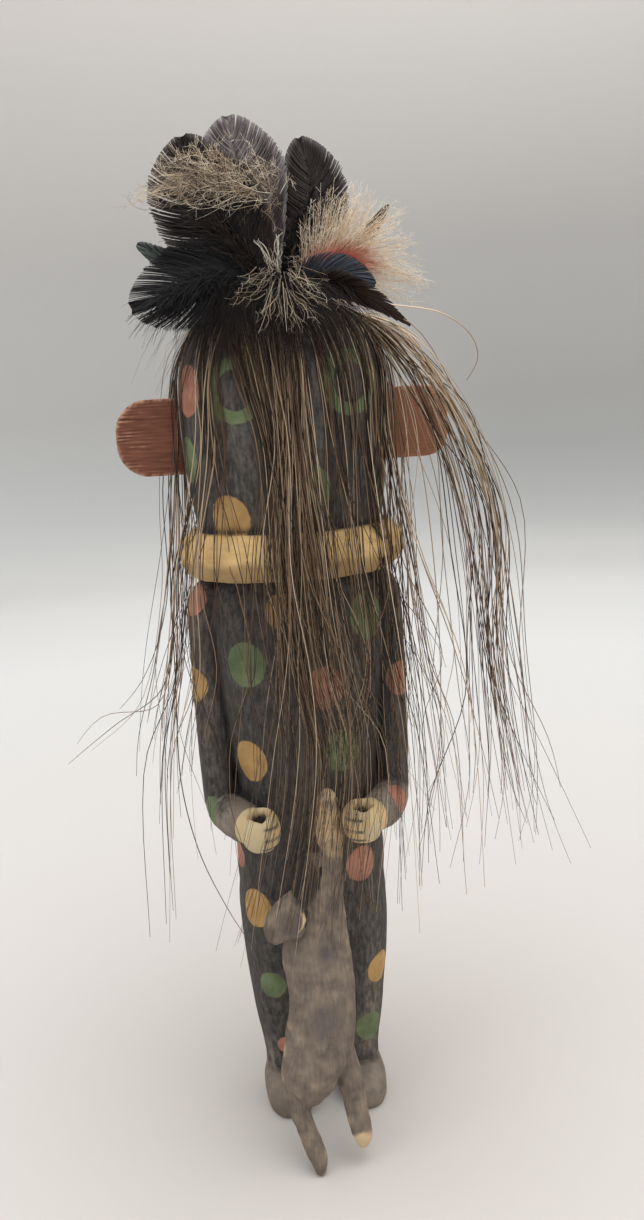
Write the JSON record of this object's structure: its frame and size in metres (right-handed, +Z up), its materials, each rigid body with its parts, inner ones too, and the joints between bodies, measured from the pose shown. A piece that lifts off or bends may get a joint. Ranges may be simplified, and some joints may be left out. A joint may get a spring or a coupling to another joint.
{
  "type": "carved kachina doll",
  "caption": "Carved and painted wooden standing doll with a case mask, board ears, ruff, feather crest, long horsehair and a small carved animal held in front.",
  "frame": {"origin": "on the floor, under the middle of the whole doll's box", "axes": "+Z up from the soles to the feathers, -Y the way the doll faces, +X towards the viewer's right"},
  "size_m": [0.1526, 0.0794, 0.2911],
  "materials": {
    "painted_wood": "brushed charcoal-black mineral paint on carved wood, with ochre, sage and salmon spots",
    "ear_board": "matt red-brown paint on a sawn board, worn pale along its edges",
    "animal_wood": "thin grey-brown wash on carved wood, with darker blotches and bare paw tips",
    "dark_feather": "dark feather vane with a faint blue sheen",
    "grey_feather": "soft grey feather vane",
    "pale_down": "loose cream and tan down",
    "horsehair": "glossy horsehair, mixed brown, black and blond"
  },
  "bodies": {
    "root": {"figure": "painted_wood", "ear_left": "ear_board", "ear_right": "ear_board", "hung_animal": "animal_wood", "feather_broad_black": "dark_feather", "feather_tall_grey": "grey_feather", "feather_upright_dark": "dark_feather", "feather_dark_tip": "dark_feather", "feather_blue_tongue": "dark_feather", "feather_brown_spear": "dark_feather", "feather_black_brush": "dark_feather", "feather_grey_stub": "grey_feather", "down_tan_curls": "pale_down", "down_cream_fan": "pale_down", "bristle_white": "pale_down", "down_cream_frizz": "pale_down", "hair_far_left": "horsehair", "hair_left": "horsehair", "hair_front_left": "horsehair", "hair_front": "horsehair", "hair_front_right": "horsehair", "hair_right": "horsehair", "hair_back_right": "horsehair", "hair_back_left": "horsehair", "hair_swept_right": "horsehair", "hair_swept_middle": "horsehair", "hair_stray_left": "horsehair"}
  },
  "joints": []
}
